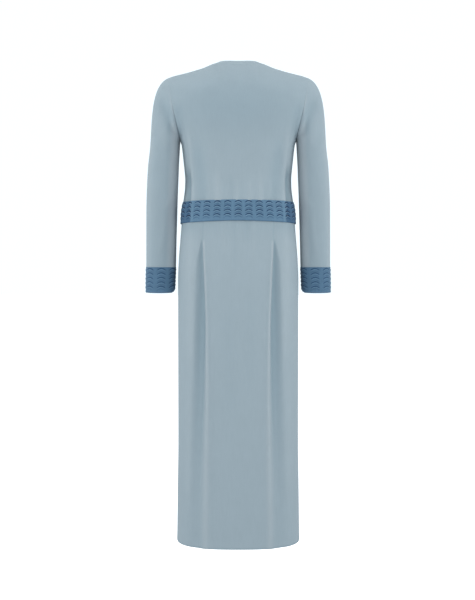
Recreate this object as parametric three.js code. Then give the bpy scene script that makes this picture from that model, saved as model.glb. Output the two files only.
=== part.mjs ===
// Long-sleeved maxi dress in smooth knit, filled out as if worn, as its separate cut pieces.
// Millimetres, +Z up. The front faces -Y, the back +Y, and the wearer's left is +X.
// The origin is on the centre plane, at the level where the shoulders carry the dress.
import * as THREE from "three";

// ---- Cloth ----
const CLOTH = 2.0; // wall of the smooth knit
const BAND_CLOTH = 2.4; // wall of the scallop knit, under its relief
const SEAM_GAP = 0.3; // space between two pieces at a seam
const TRIM = SEAM_GAP / 2; // each piece's share of it
const ROUNDNESS = 2.37; // superellipse exponent of the body's level sections

// ---- Heights ----
const BAND_TOP = -376.8; // the top's lower edge and the waistband's upper one
const BAND_HEM = -438;
const SKIRT_TOP = -383; // hidden under the waistband
const SKIRT_HEM = -1329;
const PIT = -204; // the lowest point of the armhole
const SLEEVE_TOP_SECTION = -235; // below it the sleeve is a plain tube
const CUFF_TOP = -560.7;
const CUFF_HEM = -632.5;

// ---- Top: half-width at the side seam, and depth to the back and to the front ----
const TOP_SECTIONS = [
  { z: -377, side: 156.4, back: 107, front: 106 },
  { z: -356, side: 153.4, back: 104.5, front: 103.8 },
  { z: -335, side: 151.2, back: 103.2, front: 103 },
  { z: -313, side: 150.6, back: 103, front: 104 },
  { z: -285, side: 152.6, back: 104, front: 107.5 },
  { z: -257, side: 155.8, back: 106, front: 112.5 },
  { z: -228, side: 159.5, back: 108.4, front: 117.5 },
  { z: -204, side: 164.4, back: 109.8, front: 119.5 },
  { z: -160, side: 164.4, back: 110.5, front: 118 },
  { z: -120, side: 164.4, back: 108, front: 110 },
  { z: -80, side: 164.4, back: 100, front: 97 },
  { z: -50, side: 164.4, back: 90.5, front: 82 },
  { z: -20, side: 164.4, back: 76, front: 65.5 },
  { z: 3, side: 164.4, back: 62, front: 56 },
  { z: 16, side: 164.4, back: 53, front: 51 },
  { z: 40, side: 164.4, back: 40, front: 40 },
];
// The line of the shoulders from the side of the neck outwards, and inside it the neck's own rise.
const SHOULDER_LINE = [
  { x: 0, z: 95 },
  { x: 20, z: 80 },
  { x: 36, z: 54 },
  { x: 48, z: 33 },
  { x: 56, z: 22.8 },
  { x: 65, z: 19.8 },
  { x: 74, z: 16.9 },
  { x: 87, z: 11.3 },
  { x: 100, z: 5.7 },
  { x: 118, z: 0 },
  { x: 137, z: -5.7 },
  { x: 159, z: -11.4 },
  { x: 183, z: -17.4 },
  { x: 197, z: -22.2 },
];
const SHOULDER_ROUND = { back: 90, front: 80 }; // how far below its line the shoulder still rounds

// ---- Armhole, a closed curve in a bent upright sheet ----
const ARMHOLE_SHEET = [
  { z: -204, x: 164.4 },
  { z: -190, x: 166.6 },
  { z: -150, x: 175 },
  { z: -120, x: 182 },
  { z: -80, x: 189 },
  { z: -50, x: 193.4 },
  { z: -22.2, x: 197 },
];
const ARMHOLE_DEPTH = { back: 58, front: 55 };

// ---- Neck: the opening's edge, and the seam where the band joins the top ----
const NECK_EDGE = { side: 56, back: 7.3, front: 61 }; // half-width, and how far it dips
const NECK_SEAM = { side: 65, back: 16.8, front: 69 };
const NECKBAND_CLOTH = 2.2;

// ---- Sleeve: centre and half-sizes of its level sections ----
const SLEEVE_SECTIONS = [
  { z: -235, x: 209.4, y: 0, half: 42.1, depth: 58 },
  { z: -270, x: 212.4, y: 0, half: 43.2, depth: 57 },
  { z: -313, x: 214.6, y: -1, half: 43.8, depth: 56 },
  { z: -370, x: 217, y: -3, half: 43.9, depth: 54 },
  { z: -427, x: 218.3, y: -6, half: 43.5, depth: 51 },
  { z: -485, x: 219.5, y: -9, half: 42.8, depth: 48 },
  { z: -556, x: 220.7, y: -13, half: 42.2, depth: 45 },
  { z: -590, x: 221.9, y: -15, half: 41.9, depth: 44 },
  { z: -633, x: 223.1, y: -18, half: 41.3, depth: 43 },
];

// ---- Skirt: half-width at the side seam, depth to the back and to the front, and the
// superellipse exponent of the section ----
const SKIRT_SECTIONS = [
  { z: -370, side: 152.6, back: 103.4, front: 102.6, round: ROUNDNESS },
  { z: -385, side: 156.6, back: 105.6, front: 104.8, round: ROUNDNESS },
  { z: -413, side: 160.2, back: 108.4, front: 107.4, round: ROUNDNESS },
  { z: -441, side: 161.2, back: 110.6, front: 109.4, round: ROUNDNESS },
  { z: -485, side: 164.5, back: 113.6, front: 112, round: ROUNDNESS },
  { z: -541, side: 168.8, back: 116.4, front: 114.6, round: ROUNDNESS },
  { z: -600, side: 171, back: 118, front: 116.4, round: ROUNDNESS },
  { z: -770, side: 170.6, back: 118.6, front: 117.6, round: 2.42 },
  { z: -1050, side: 170, back: 118, front: 118, round: 2.52 },
  { z: -1168, side: 171.4, back: 118, front: 118, round: 2.58 },
  { z: -1329, side: 173.3, back: 118, front: 118, round: 2.68 },
];
// The two back pleats: where each fold lies, how deep the cloth sinks outside it,
// and how far its edge stands up.
const PLEAT_SECTIONS = [
  { z: -370, left: 95, right: 95, sink: 1, stand: 0 },
  { z: -487, left: 95.5, right: 95, sink: 1, stand: 0 },
  { z: -515, left: 94.5, right: 94, sink: 5, stand: 0.4 },
  { z: -570, left: 92, right: 91.5, sink: 8, stand: 0.8 },
  { z: -655, left: 88.5, right: 88, sink: 9, stand: 1.2 },
  { z: -760, left: 85.5, right: 84.5, sink: 8.5, stand: 1.8 },
  { z: -900, left: 86, right: 84, sink: 7.5, stand: 2.6 },
  { z: -1060, left: 88, right: 85, sink: 5.5, stand: 2.8 },
  { z: -1329, left: 90, right: 88.5, sink: 3.4, stand: 2.4 },
];
const PLEAT_STITCHED_TO = -487; // above it the pleats are sewn shut
const STITCHED_REACH = 9; // how far the dip beside a sewn pleat reaches
const EDGE_ROLL = 12; // half-width of the fold's raised edge
const PLEAT_STEP = 3; // from the fold's edge to the deepest point
const PLEAT_REACH = 38; // from there the cloth comes level again
const PLEAT_COLUMNS = [-24, -9, -2.5, 0, PLEAT_STEP, 9, 20, PLEAT_REACH]; // measured from the fold

// ---- Soft upright folds: place, half-width, height, and the level where they have died out ----
const TOP_BACK_FOLDS = [
  { x: 128, wide: 11, high: 3.2, until: -150 },
  { x: -126, wide: 11, high: 3.2, until: -150 },
];
const TOP_FRONT_FOLDS = [
  { x: 122, wide: 14, high: 2.4, until: -190 },
  { x: -124, wide: 14, high: 2.4, until: -180 },
];
const SKIRT_FRONT_FOLDS = [
  { x: 96, wide: 24, high: 4.5, until: -500 },
  { x: 8, wide: 26, high: 3.2, until: -640 },
  { x: -92, wide: 24, high: 4.2, until: -540 },
];
const FOLD_FADE = 90; // height over which a fold dies out

// ---- Scallop relief: rows of small arches, the same on the waistband and the cuffs ----
const ARCH_PHASES = 4; // points along one column of arches
const ARCH_RISE = 5.6; // from an arch's feet to its crown
const ARCH_HALF_WIDTH = 0.35; // as a share of its column
const ARCH_PAD = 1.3; // how far the pad under an arch stands up
const ARCH_GROOVE = 0.5; // how far the line over it sinks
const ARCH_PITCH = 12.3; // from one row to the next
const GROOVE_TO_PAD = 4.6; // from the line down to the pad's crest
const PAD_FOLLOWS = 0.8; // how much of the arch's rise the pad's crest takes
const WAIST_RELIEF = { columns: 30, rows: 4, firstBelowTop: 9.5, from: Math.PI / 2 }; // from mid-back
const CUFF_RELIEF = { columns: 8, rows: 5, firstBelowTop: 9, from: 1.69 }; // from just inside mid-back
const BAND_STANDOFF = 0.7; // clear space between the waistband and the skirt under it
const CUFF_STANDOFF = 0.3; // how far the cuff's wall stands outside the sleeve's

// ---- Mesh fineness ----
const SIDE_ROWS = 6; // of the top, from its lower edge to the armhole
const ARMHOLE_ROWS = 10;
const TOP_HALF_COLUMNS = 11;
const NECK_HALF_COLUMNS = 5; // those of them that end at the neck
const TUBE_ROWS = 6;
const CAP_ROWS = 6;
const SKIRT_SIDE_COLUMNS = 4; // from the pleat's reach to the side seam
const SKIRT_FRONT_COLUMNS = 18;
const RING_INNER_ROWS = 3; // of a scallop ring's plain inner side
const RING_STEPS = 720; // that a ring's length is measured in
const SKIRT_UPPER_LEVELS = [-450, -415, SKIRT_TOP]; // shared by back and front
const SKIRT_BACK_LEVELS = [
  ...[SKIRT_HEM, -1240, -1140, -1040, -940, -850, -760, -680, -610, -560, -520, -487],
  ...SKIRT_UPPER_LEVELS,
];
const SKIRT_FRONT_LEVELS = [SKIRT_HEM, -1200, -1070, -940, -810, -690, -590, -510, ...SKIRT_UPPER_LEVELS];
const NORMAL_STEP = 0.02; // of a row or column, for slopes
const TURN_STEP = 0.01; // of a radian, for slopes round a curve

// ---- Small maths ----
const mix = (a, b, share) => a + (b - a) * share;
const clamp = (value, low, high) => Math.min(Math.max(value, low), high);
const ease = (share) => {
  const s = clamp(share, 0, 1);
  return s * s * (3 - 2 * s);
};
const bump = (distance, wide) => Math.exp(-((distance / wide) ** 2));

// A smooth curve through a table's column that never overshoots its rows.
function curveThrough(rows, key, column) {
  const sorted = [...rows].sort((a, b) => a[key] - b[key]);
  const at = sorted.map((row) => row[key]);
  const value = sorted.map((row) => row[column]);
  const last = at.length - 1;
  const slope = at.slice(1).map((x, i) => (value[i + 1] - value[i]) / (x - at[i]));
  const tangent = at.map((_, i) => {
    if (i === 0) return slope[0];
    if (i === last) return slope[last - 1];
    const [before, after] = [slope[i - 1], slope[i]];
    return before * after <= 0 ? 0 : (2 * before * after) / (before + after);
  });
  return (x) => {
    if (x <= at[0]) return value[0];
    if (x >= at[last]) return value[last];
    const i = at.findIndex((_, k) => x < at[k + 1]);
    const span = at[i + 1] - at[i];
    const s = (x - at[i]) / span;
    const rise = s * s * (3 - 2 * s);
    const leave = s * (1 - s) * (1 - s) * span;
    const arrive = s * s * (s - 1) * span;
    return mix(value[i], value[i + 1], rise) + leave * tangent[i] + arrive * tangent[i + 1];
  };
}

// Each column of a table as a curve of its own.
function curvesOf(rows, key, columns) {
  return Object.fromEntries(columns.map((column) => [column, curveThrough(rows, key, column)]));
}

const top = curvesOf(TOP_SECTIONS, "z", ["side", "back", "front"]);
const skirt = curvesOf(SKIRT_SECTIONS, "z", ["side", "back", "front", "round"]);
const sleeve = curvesOf(SLEEVE_SECTIONS, "z", ["x", "y", "half", "depth"]);
const pleat = curvesOf(PLEAT_SECTIONS, "z", ["left", "right", "sink", "stand"]);
const shoulderAt = curveThrough(SHOULDER_LINE, "x", "z");
const armholeAt = curveThrough(ARMHOLE_SHEET, "z", "x");
const TIP = SHOULDER_LINE.at(-1); // where shoulder seam and armhole meet

// How far soft folds lift the cloth at a point.
function foldLift(folds, x, z) {
  return folds.reduce((lift, fold) => {
    const strength = ease((fold.until - z) / FOLD_FADE);
    return lift + fold.high * bump(x - fold.x, fold.wide) * strength;
  }, 0);
}

// ---- The top's surface: a depth for each x and z, rounded over towards the shoulder line ----
function shoulderRounding(side, x, z) {
  const below = (shoulderAt(Math.abs(x)) - z) / SHOULDER_ROUND[side];
  return Math.sqrt(1 - (1 - clamp(below, 0, 1)) ** 2);
}

// Half-depth of the armhole at a height: an oval over the whole armhole.
function armholeDepth(side, z) {
  const across = (2 * (z - PIT)) / (TIP.z - PIT) - 1;
  return ARMHOLE_DEPTH[side] * Math.sqrt(Math.max(0, 1 - across * across));
}

// Half-width of the level section whose curve passes through the armhole at that height.
function sectionWidth(side, z) {
  if (z <= PIT) return top.side(z);
  const height = Math.min(z, TIP.z - 1);
  const edge = armholeAt(height);
  const deep = top[side](height) * shoulderRounding(side, edge, height);
  const share = armholeDepth(side, height) / deep;
  return edge / (1 - share ** ROUNDNESS) ** (1 / ROUNDNESS);
}

function topDepth(side, x, z) {
  const share = clamp(Math.abs(x) / sectionWidth(side, z), 0, 1);
  const round = (1 - share ** ROUNDNESS) ** (1 / ROUNDNESS);
  return top[side](z) * round * shoulderRounding(side, x, z);
}

// Height of the neck's curve: level with the shoulder line at its sides and dipping to the middle.
const neckHeight = (curve, side, turn) => shoulderAt(curve.side) - curve[side] * Math.cos(turn) ** 2;

// Height of a panel's upper edge over x: shoulder seam, then neck.
function topEdge(side, x) {
  const across = Math.abs(x) / NECK_SEAM.side;
  return across >= 1 ? shoulderAt(Math.abs(x)) : neckHeight(NECK_SEAM, side, Math.asin(across));
}

// A column's place as a share of its row's half-width: evenly round the body at the
// armhole's foot, and split between shoulder and neck at the upper edge.
function columnShare(column, rise) {
  const even = Math.cos((column / TOP_HALF_COLUMNS) * (Math.PI / 2));
  const shoulderColumns = TOP_HALF_COLUMNS - NECK_HALF_COLUMNS;
  const neckShare = NECK_SEAM.side / TIP.x;
  const inNeck = (column - shoulderColumns) / NECK_HALF_COLUMNS;
  const onEdge =
    inNeck < 0
      ? mix(1, neckShare, column / shoulderColumns)
      : neckShare * Math.cos(inNeck * (Math.PI / 2));
  return mix(even, onEdge, rise);
}

// A point of the top's back or front. Columns run from side to side, rows from the band up.
function topPoint(side, folds) {
  return (row, column) => {
    const past = Math.sign(TOP_HALF_COLUMNS - column);
    const fromEdge = TOP_HALF_COLUMNS - Math.abs(TOP_HALF_COLUMNS - column);
    const rise = clamp((row - SIDE_ROWS) / ARMHOLE_ROWS, 0, 1);
    const upSide = mix(BAND_TOP + SEAM_GAP, PIT, Math.min(row / SIDE_ROWS, 1));
    const climb = (1 - Math.cos(Math.PI * rise)) / 2;
    const upArmhole = mix(PIT, TIP.z, climb);
    const edgeHeight = rise > 0 ? upArmhole : upSide;
    const halfWidth = rise > 0 ? armholeAt(edgeHeight) : top.side(edgeHeight);
    const facing = side === "back" ? 1 : -1;
    const x = past * facing * halfWidth * columnShare(fromEdge, ease(rise));
    const z = edgeHeight + climb * (topEdge(side, x) - TIP.z);
    const round = fromEdge / (fromEdge + 1); // no fold at the seams
    const depth = topDepth(side, x, z) + round * foldLift(folds, x, z);
    return new THREE.Vector3(x, facing * depth, z);
  };
}

// ---- The sleeve's surface: a tube below, and a cap that flows out of the armhole above ----
const topBack = topPoint("back", TOP_BACK_FOLDS);
const topFront = topPoint("front", TOP_FRONT_FOLDS);
const SLEEVE_COLUMNS = 2 * ARMHOLE_ROWS;
const SLEEVE_ROWS = TUBE_ROWS + CAP_ROWS;
const CAP_LEAVE = 0.83; // strength of the cap's first direction, as a share of its length
const CAP_ARRIVE = 0.91; // and of its last one
const CAP_FREE = { out: 0.5, aside: 0.4, swing: 0.35, fall: 0.65 }; // its free first direction
const CAP_FREE_FROM = 0.75; // cosine of the turn at which the cap begins to leave freely
const CAP_FREE_OVER = 0.9; // how much the cosine falls before it is wholly free

function tubePoint(turn, z) {
  const x = sleeve.x(z) + sleeve.half(z) * Math.cos(turn);
  const y = sleeve.y(z) + sleeve.depth(z) * Math.sin(turn);
  return new THREE.Vector3(x, y, z);
}

// The armhole by its turn: 0 at the shoulder's tip, half a turn at the pit, the back between.
function armholePoint(turn) {
  const side = Math.sin(turn) >= 0 ? "back" : "front";
  const z = mix(PIT, TIP.z, (1 + Math.cos(turn)) / 2);
  return new THREE.Vector3(armholeAt(z), ARMHOLE_DEPTH[side] * Math.sin(turn), z);
}

// The top's outward direction at its armhole.
function topNormalAtArmhole(turn) {
  const onBack = Math.sin(turn) >= 0;
  const fromTip = onBack ? turn : 2 * Math.PI - turn;
  const row = SIDE_ROWS + ARMHOLE_ROWS * (1 - fromTip / Math.PI);
  const point = onBack ? topBack : topFront;
  return normalAt(point, row, onBack ? 0 : 2 * TOP_HALF_COLUMNS, TOP_GRID);
}

// The direction in which the cap leaves the armhole: level with the shoulder over the tip, free
// to fall lower down, where the cloth creases.
function capLeaves(turn) {
  const along = armholePoint(turn + TURN_STEP).sub(armholePoint(turn - TURN_STEP)).normalize();
  const flush = new THREE.Vector3().crossVectors(along, topNormalAtArmhole(turn));
  if (flush.x < 0) flush.negate();
  const free = new THREE.Vector3(
    CAP_FREE.out * (1 + Math.cos(turn)),
    CAP_FREE.aside * Math.sin(turn),
    CAP_FREE.swing * Math.cos(turn) - CAP_FREE.fall,
  );
  const down = ease((CAP_FREE_FROM - Math.cos(turn)) / CAP_FREE_OVER);
  return flush.lerp(free.normalize(), down).normalize();
}

function capPoint(turn, share) {
  const start = armholePoint(turn);
  const end = tubePoint(turn, SLEEVE_TOP_SECTION);
  const length = start.distanceTo(end);
  const leave = capLeaves(turn).multiplyScalar(CAP_LEAVE * length);
  const arrive = tubePoint(turn, SLEEVE_TOP_SECTION - 1).sub(end).multiplyScalar(CAP_ARRIVE * length);
  return new THREE.Vector3()
    .addScaledVector(start, 2 * share ** 3 - 3 * share ** 2 + 1)
    .addScaledVector(leave, share ** 3 - 2 * share ** 2 + share)
    .addScaledVector(end, 3 * share ** 2 - 2 * share ** 3)
    .addScaledVector(arrive, share ** 3 - share ** 2);
}

// A point of the left sleeve. Rows run from the cuff up to the armhole.
function sleevePoint(row, column) {
  const turn = (column / SLEEVE_COLUMNS) * 2 * Math.PI;
  const wrapped = ((turn % (2 * Math.PI)) + 2 * Math.PI) % (2 * Math.PI);
  if (row >= TUBE_ROWS) return capPoint(wrapped, 1 - (row - TUBE_ROWS) / CAP_ROWS);
  return tubePoint(wrapped, mix(CUFF_TOP + SEAM_GAP, SLEEVE_TOP_SECTION, row / TUBE_ROWS));
}

// ---- The skirt's surface ----
function skirtDepth(side, x, z) {
  const share = clamp(Math.abs(x) / skirt.side(z), 0, 1);
  const round = skirt.round(z);
  return skirt[side](z) * (1 - share ** round) ** (1 / round);
}

// How far the back stands in or out beside a pleat's fold, by the distance outside its edge.
function pleatLift(outside, z) {
  const stitched = z > PLEAT_STITCHED_TO - 1;
  const reach = stitched ? STITCHED_REACH : PLEAT_REACH;
  if (outside <= 0) return pleat.stand(z) * bump(outside, EDGE_ROLL);
  const stepDown = ease(outside / PLEAT_STEP);
  const comingUp = 1 - ease((outside - PLEAT_STEP) / (reach - PLEAT_STEP));
  return mix(pleat.stand(z), -pleat.sink(z) * comingUp, stepDown);
}

// Columns of one half of the back, from the side seam to the middle, as places along x.
function skirtBackColumns(fold, halfWidth) {
  const reach = fold + PLEAT_REACH;
  const outer = Array.from({ length: SKIRT_SIDE_COLUMNS }, (_, i) => {
    const turn = (i / SKIRT_SIDE_COLUMNS) * Math.acos(reach / halfWidth);
    return halfWidth * Math.cos(turn);
  });
  const aroundFold = [...PLEAT_COLUMNS].reverse().map((offset) => fold + offset);
  const middle = (fold + PLEAT_COLUMNS[0]) / 2;
  return [...outer, ...aroundFold, middle];
}

function skirtBackRow(z) {
  const halfWidth = skirt.side(z);
  const left = skirtBackColumns(pleat.left(z), halfWidth);
  const right = skirtBackColumns(pleat.right(z), halfWidth).map((x) => -x).reverse();
  return [...left, 0, ...right].map((x) => {
    const fold = x > 0 ? pleat.left(z) : pleat.right(z);
    return new THREE.Vector3(x, skirtDepth("back", x, z) + pleatLift(Math.abs(x) - fold, z), z);
  });
}

function skirtFrontRow(z) {
  return Array.from({ length: SKIRT_FRONT_COLUMNS + 1 }, (_, column) => {
    const x = -skirt.side(z) * Math.cos((column / SKIRT_FRONT_COLUMNS) * Math.PI);
    const offSeam = Math.sin((column / SKIRT_FRONT_COLUMNS) * Math.PI);
    const fold = offSeam * foldLift(SKIRT_FRONT_FOLDS, x, z);
    return new THREE.Vector3(x, -skirtDepth("front", x, z) - fold, z);
  });
}

// ---- Walls from grids of points ----
const TOP_GRID = { rows: SIDE_ROWS + ARMHOLE_ROWS, columns: 2 * TOP_HALF_COLUMNS };

// Outward direction of a surface whose columns run anticlockwise and rows upwards.
function normalAt(point, row, column, grid) {
  const lowRow = Math.max(row - NORMAL_STEP, 0);
  const highRow = Math.min(row + NORMAL_STEP, grid.rows);
  const lowColumn = grid.closed ? column - NORMAL_STEP : Math.max(column - NORMAL_STEP, 0);
  const highColumn = grid.closed ? column + NORMAL_STEP : Math.min(column + NORMAL_STEP, grid.columns);
  const along = point(row, highColumn).sub(point(row, lowColumn));
  const up = point(highRow, column).sub(point(lowRow, column));
  return along.cross(up).normalize();
}

function gridOf(point, grid) {
  const columns = grid.closed ? grid.columns : grid.columns + 1;
  return Array.from({ length: grid.rows + 1 }, (_, row) =>
    Array.from({ length: columns }, (__, column) => point(row, column)),
  );
}

// Outward directions at all points of such a surface's grid.
function normalsOf(point, grid) {
  return gridOf((row, column) => normalAt(point, row, column, grid), grid);
}

// Outward directions at the points of a grid, worked out from their neighbours.
function gridNormals(points) {
  return points.map((line, row) =>
    line.map((_, column) => {
      const below = points[Math.max(row - 1, 0)][column];
      const above = points[Math.min(row + 1, points.length - 1)][column];
      const before = line[Math.max(column - 1, 0)];
      const after = line[Math.min(column + 1, line.length - 1)];
      return after.clone().sub(before).cross(above.clone().sub(below)).normalize();
    }),
  );
}

function movedIn(points, normals, distance) {
  return points.map((line, row) =>
    line.map((p, column) => p.clone().addScaledVector(normals[row][column], -distance)),
  );
}

// One closed cloth wall between an outer and an inner grid. A closed grid runs all round,
// and then the inner one may have fewer rows.
function clothWall(outer, inner, closed) {
  const positions = [];
  const faces = [];
  const index = [outer, inner].map((points) =>
    points.map((line) => line.map((p) => positions.push(p.x, p.y, p.z) / 3 - 1)),
  );
  const quad = (a, b, c, d) => faces.push(a, b, c, a, c, d);
  const next = (line, column) => line[(column + 1) % line.length];
  const spans = closed ? outer[0].length : outer[0].length - 1;
  const [out, within] = index;
  for (let column = 0; column < spans; column += 1) {
    for (let row = 0; row + 1 < out.length; row += 1) {
      quad(out[row][column], next(out[row], column), next(out[row + 1], column), out[row + 1][column]);
    }
    for (let row = 0; row + 1 < within.length; row += 1) {
      const [low, high] = [within[row], within[row + 1]];
      quad(low[column], high[column], next(high, column), next(low, column));
    }
    const [foot, footIn, head, headIn] = [out[0], within[0], out.at(-1), within.at(-1)];
    quad(foot[column], footIn[column], next(footIn, column), next(foot, column));
    quad(head[column], next(head, column), next(headIn, column), headIn[column]);
  }
  if (!closed) {
    for (let row = 0; row + 1 < out.length; row += 1) {
      quad(out[row][0], out[row + 1][0], within[row + 1][0], within[row][0]);
      quad(out[row].at(-1), within[row].at(-1), within[row + 1].at(-1), out[row + 1].at(-1));
    }
  }
  const geometry = new THREE.BufferGeometry();
  geometry.setAttribute("position", new THREE.Float32BufferAttribute(positions, 3));
  geometry.setIndex(faces);
  return geometry;
}

// The same wall on the other side of the body.
function mirrored(geometry) {
  const copy = geometry.clone();
  const position = copy.getAttribute("position");
  for (let i = 0; i < position.count; i += 1) position.setX(i, -position.getX(i));
  const faces = Array.from(copy.getIndex().array);
  for (let i = 0; i < faces.length; i += 3) [faces[i], faces[i + 1]] = [faces[i + 1], faces[i]];
  copy.setIndex(faces);
  return copy;
}

// Keeps a panel's points on its own side of the seams in the plane between back and front.
function keepBehindSeam(points, facing) {
  points.flat().forEach((p) => {
    p.y = facing * Math.max(facing * p.y, TRIM);
  });
}

// ---- Pieces ----
// Inward direction shared by top and sleeve along the armhole, turned up under the arm,
// where the two walls lie back to back.
const UNDER_ARM_TURN_UP = 0.25;

function armholeInward(turn) {
  const column = (turn / (2 * Math.PI)) * SLEEVE_COLUMNS;
  const cap = normalAt(sleevePoint, SLEEVE_ROWS, column, { rows: SLEEVE_ROWS, closed: true });
  const underArm = new THREE.Vector3(0, 0, -UNDER_ARM_TURN_UP * (1 - Math.cos(turn)));
  return cap.add(topNormalAtArmhole(turn)).add(underArm).normalize();
}

function topPanel(side, point) {
  const outer = gridOf(point, TOP_GRID);
  const normals = normalsOf(point, TOP_GRID);
  for (let row = SIDE_ROWS; row <= TOP_GRID.rows; row += 1) {
    const fromTip = Math.PI * (1 - (row - SIDE_ROWS) / ARMHOLE_ROWS);
    const leftTurn = side === "back" ? fromTip : 2 * Math.PI - fromTip;
    const left = armholeInward(leftTurn);
    const right = left.clone().setX(-left.x);
    const [first, last] = side === "back" ? [left, right] : [right, left];
    normals[row][0] = first;
    normals[row][TOP_GRID.columns] = last;
  }
  const inner = movedIn(outer, normals, CLOTH);
  [outer, inner].forEach((points) => {
    keepBehindSeam(points, side === "back" ? 1 : -1);
    points.slice(SIDE_ROWS).forEach((line) => {
      [line[0], line.at(-1)].forEach((p) => {
        p.x -= Math.sign(p.x) * TRIM;
      });
    });
  });
  return clothWall(outer, inner, false);
}

function sleeveTube() {
  const grid = { rows: SLEEVE_ROWS, columns: SLEEVE_COLUMNS, closed: true };
  const outer = gridOf(sleevePoint, grid);
  const normals = normalsOf(sleevePoint, grid);
  normals[SLEEVE_ROWS] = outer[0].map((_, column) => armholeInward((column / SLEEVE_COLUMNS) * 2 * Math.PI));
  const inner = movedIn(outer, normals, CLOTH);
  [...outer.at(-1), ...inner.at(-1)].forEach((p) => {
    p.x += TRIM;
  });
  return clothWall(outer, inner, true);
}

// The neckband carries on the top's surface from the seam to the opening's edge.
function neckband() {
  const quarter = NECK_HALF_COLUMNS;
  const seamShare = SEAM_GAP / (NECK_SEAM.side - NECK_EDGE.side);
  const grid = { rows: 2, columns: 4 * quarter, closed: true };
  const point = (row, column) => {
    const turn = (column / grid.columns) * 2 * Math.PI;
    const side = Math.sin(turn) >= 0 ? "back" : "front";
    const share = mix(seamShare, 1, row / grid.rows);
    const halfWidth = mix(NECK_SEAM.side, NECK_EDGE.side, share);
    const dip = mix(NECK_SEAM[side], NECK_EDGE[side], share);
    const x = halfWidth * Math.cos(turn);
    const z = shoulderAt(halfWidth) - dip * Math.sin(turn) ** 2;
    const facing = side === "back" ? 1 : -1;
    return new THREE.Vector3(x, facing * topDepth(side, x, z), z);
  };
  const outer = gridOf(point, grid);
  const normals = normalsOf(point, grid);
  return clothWall(outer, movedIn(outer, normals, NECKBAND_CLOTH), true);
}

// Height of an arch over its feet, by the distance from its middle as a share of its column.
const archOver = (aside) => ARCH_RISE * Math.max(0, 1 - (aside / ARCH_HALF_WIDTH) ** 2);

// Turns that divide a ring at one height into equal lengths, from a first turn on.
function evenTurns(surface, z, count, from) {
  const turnAt = (step) => from + (step / RING_STEPS) * 2 * Math.PI;
  const reach = [0];
  for (let step = 1; step <= RING_STEPS; step += 1) {
    reach.push(reach.at(-1) + surface(turnAt(step), z).distanceTo(surface(turnAt(step - 1), z)));
  }
  return Array.from({ length: count }, (_, column) => {
    const wanted = (column / count) * reach.at(-1);
    const step = reach.findIndex((length) => length > wanted);
    return turnAt(step - (reach[step] - wanted) / (reach[step] - reach[step - 1]));
  });
}

// A ring of scallop knit: level edges, and between them for each row of arches a sunk line
// and a raised pad that both follow the arch.
function scallopRing(surface, relief, low, high, standOff) {
  const count = relief.columns * ARCH_PHASES;
  const lines = [{ z: high, raise: 0, follow: 0 }];
  for (let row = 0; row < relief.rows; row += 1) {
    const z = high - relief.firstBelowTop - row * ARCH_PITCH;
    lines.push({ z, raise: -ARCH_GROOVE, follow: 1 });
    lines.push({ z: z - GROOVE_TO_PAD, raise: ARCH_PAD, follow: PAD_FOLLOWS });
  }
  lines.push({ z: mix(low, lines.at(-1).z, 0.5), raise: 0, follow: 0 }, { z: low, raise: 0, follow: 0 });
  lines.reverse();
  const turns = evenTurns(surface, mix(low, high, 0.5), count, relief.from);
  const place = (column, z, out) => {
    const turn = turns[column];
    const along = surface(turn + TURN_STEP, z).sub(surface(turn - TURN_STEP, z));
    const outward = new THREE.Vector3(along.y, -along.x, 0).normalize();
    return surface(turn, z).addScaledVector(outward, out);
  };
  const outer = lines.map((line) =>
    Array.from({ length: count }, (_, column) => {
      const share = (column % ARCH_PHASES) / ARCH_PHASES;
      const arch = archOver(Math.min(share, 1 - share));
      const raise = line.raise * (arch / ARCH_RISE);
      return place(column, line.z + line.follow * arch, standOff + BAND_CLOTH + raise);
    }),
  );
  const inner = Array.from({ length: RING_INNER_ROWS + 1 }, (_, row) => {
    const z = mix(low, high, row / RING_INNER_ROWS);
    return Array.from({ length: count }, (__, column) => place(column, z, standOff));
  });
  return clothWall(outer, inner, true);
}

function skirtSurface(turn, z) {
  const side = Math.sin(turn) >= 0 ? "back" : "front";
  const [c, s] = [Math.abs(Math.cos(turn)), Math.abs(Math.sin(turn))];
  const round = skirt.round(z);
  const reach = ((c / skirt.side(z)) ** round + (s / skirt[side](z)) ** round) ** (-1 / round);
  return new THREE.Vector3(reach * Math.cos(turn), reach * Math.sin(turn), z);
}

function skirtPanel(levels, rowAt, facing) {
  const outer = levels.map(rowAt);
  const normals = gridNormals(outer);
  normals.forEach((line) => {
    line[0].set(Math.sign(facing), 0, 0);
    line.at(-1).set(-Math.sign(facing), 0, 0);
  });
  const inner = movedIn(outer, normals, CLOTH);
  inner.forEach((line, row) => line.forEach((p) => p.setZ(levels[row])));
  [outer, inner].forEach((points) => keepBehindSeam(points, facing));
  return clothWall(outer, inner, false);
}

// ---- Materials ----
const bodyKnit = { color: new THREE.Color(0.6, 0.67, 0.715), roughness: 0.85, metalness: 0 };
const bandKnit = { color: new THREE.Color(0.35, 0.47, 0.575), roughness: 0.88, metalness: 0 };
const cuffKnit = { color: new THREE.Color(0.31, 0.42, 0.525), roughness: 0.88, metalness: 0 };

// ---- Assembly ----
const dress = new THREE.Group();

function addPiece(name, geometry, finish) {
  const piece = new THREE.Mesh(geometry, new THREE.MeshStandardMaterial(finish));
  piece.name = name;
  dress.add(piece);
}

const leftSleeve = sleeveTube();
const leftCuff = scallopRing(tubePoint, CUFF_RELIEF, CUFF_HEM, CUFF_TOP, CUFF_STANDOFF - CLOTH);

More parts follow.
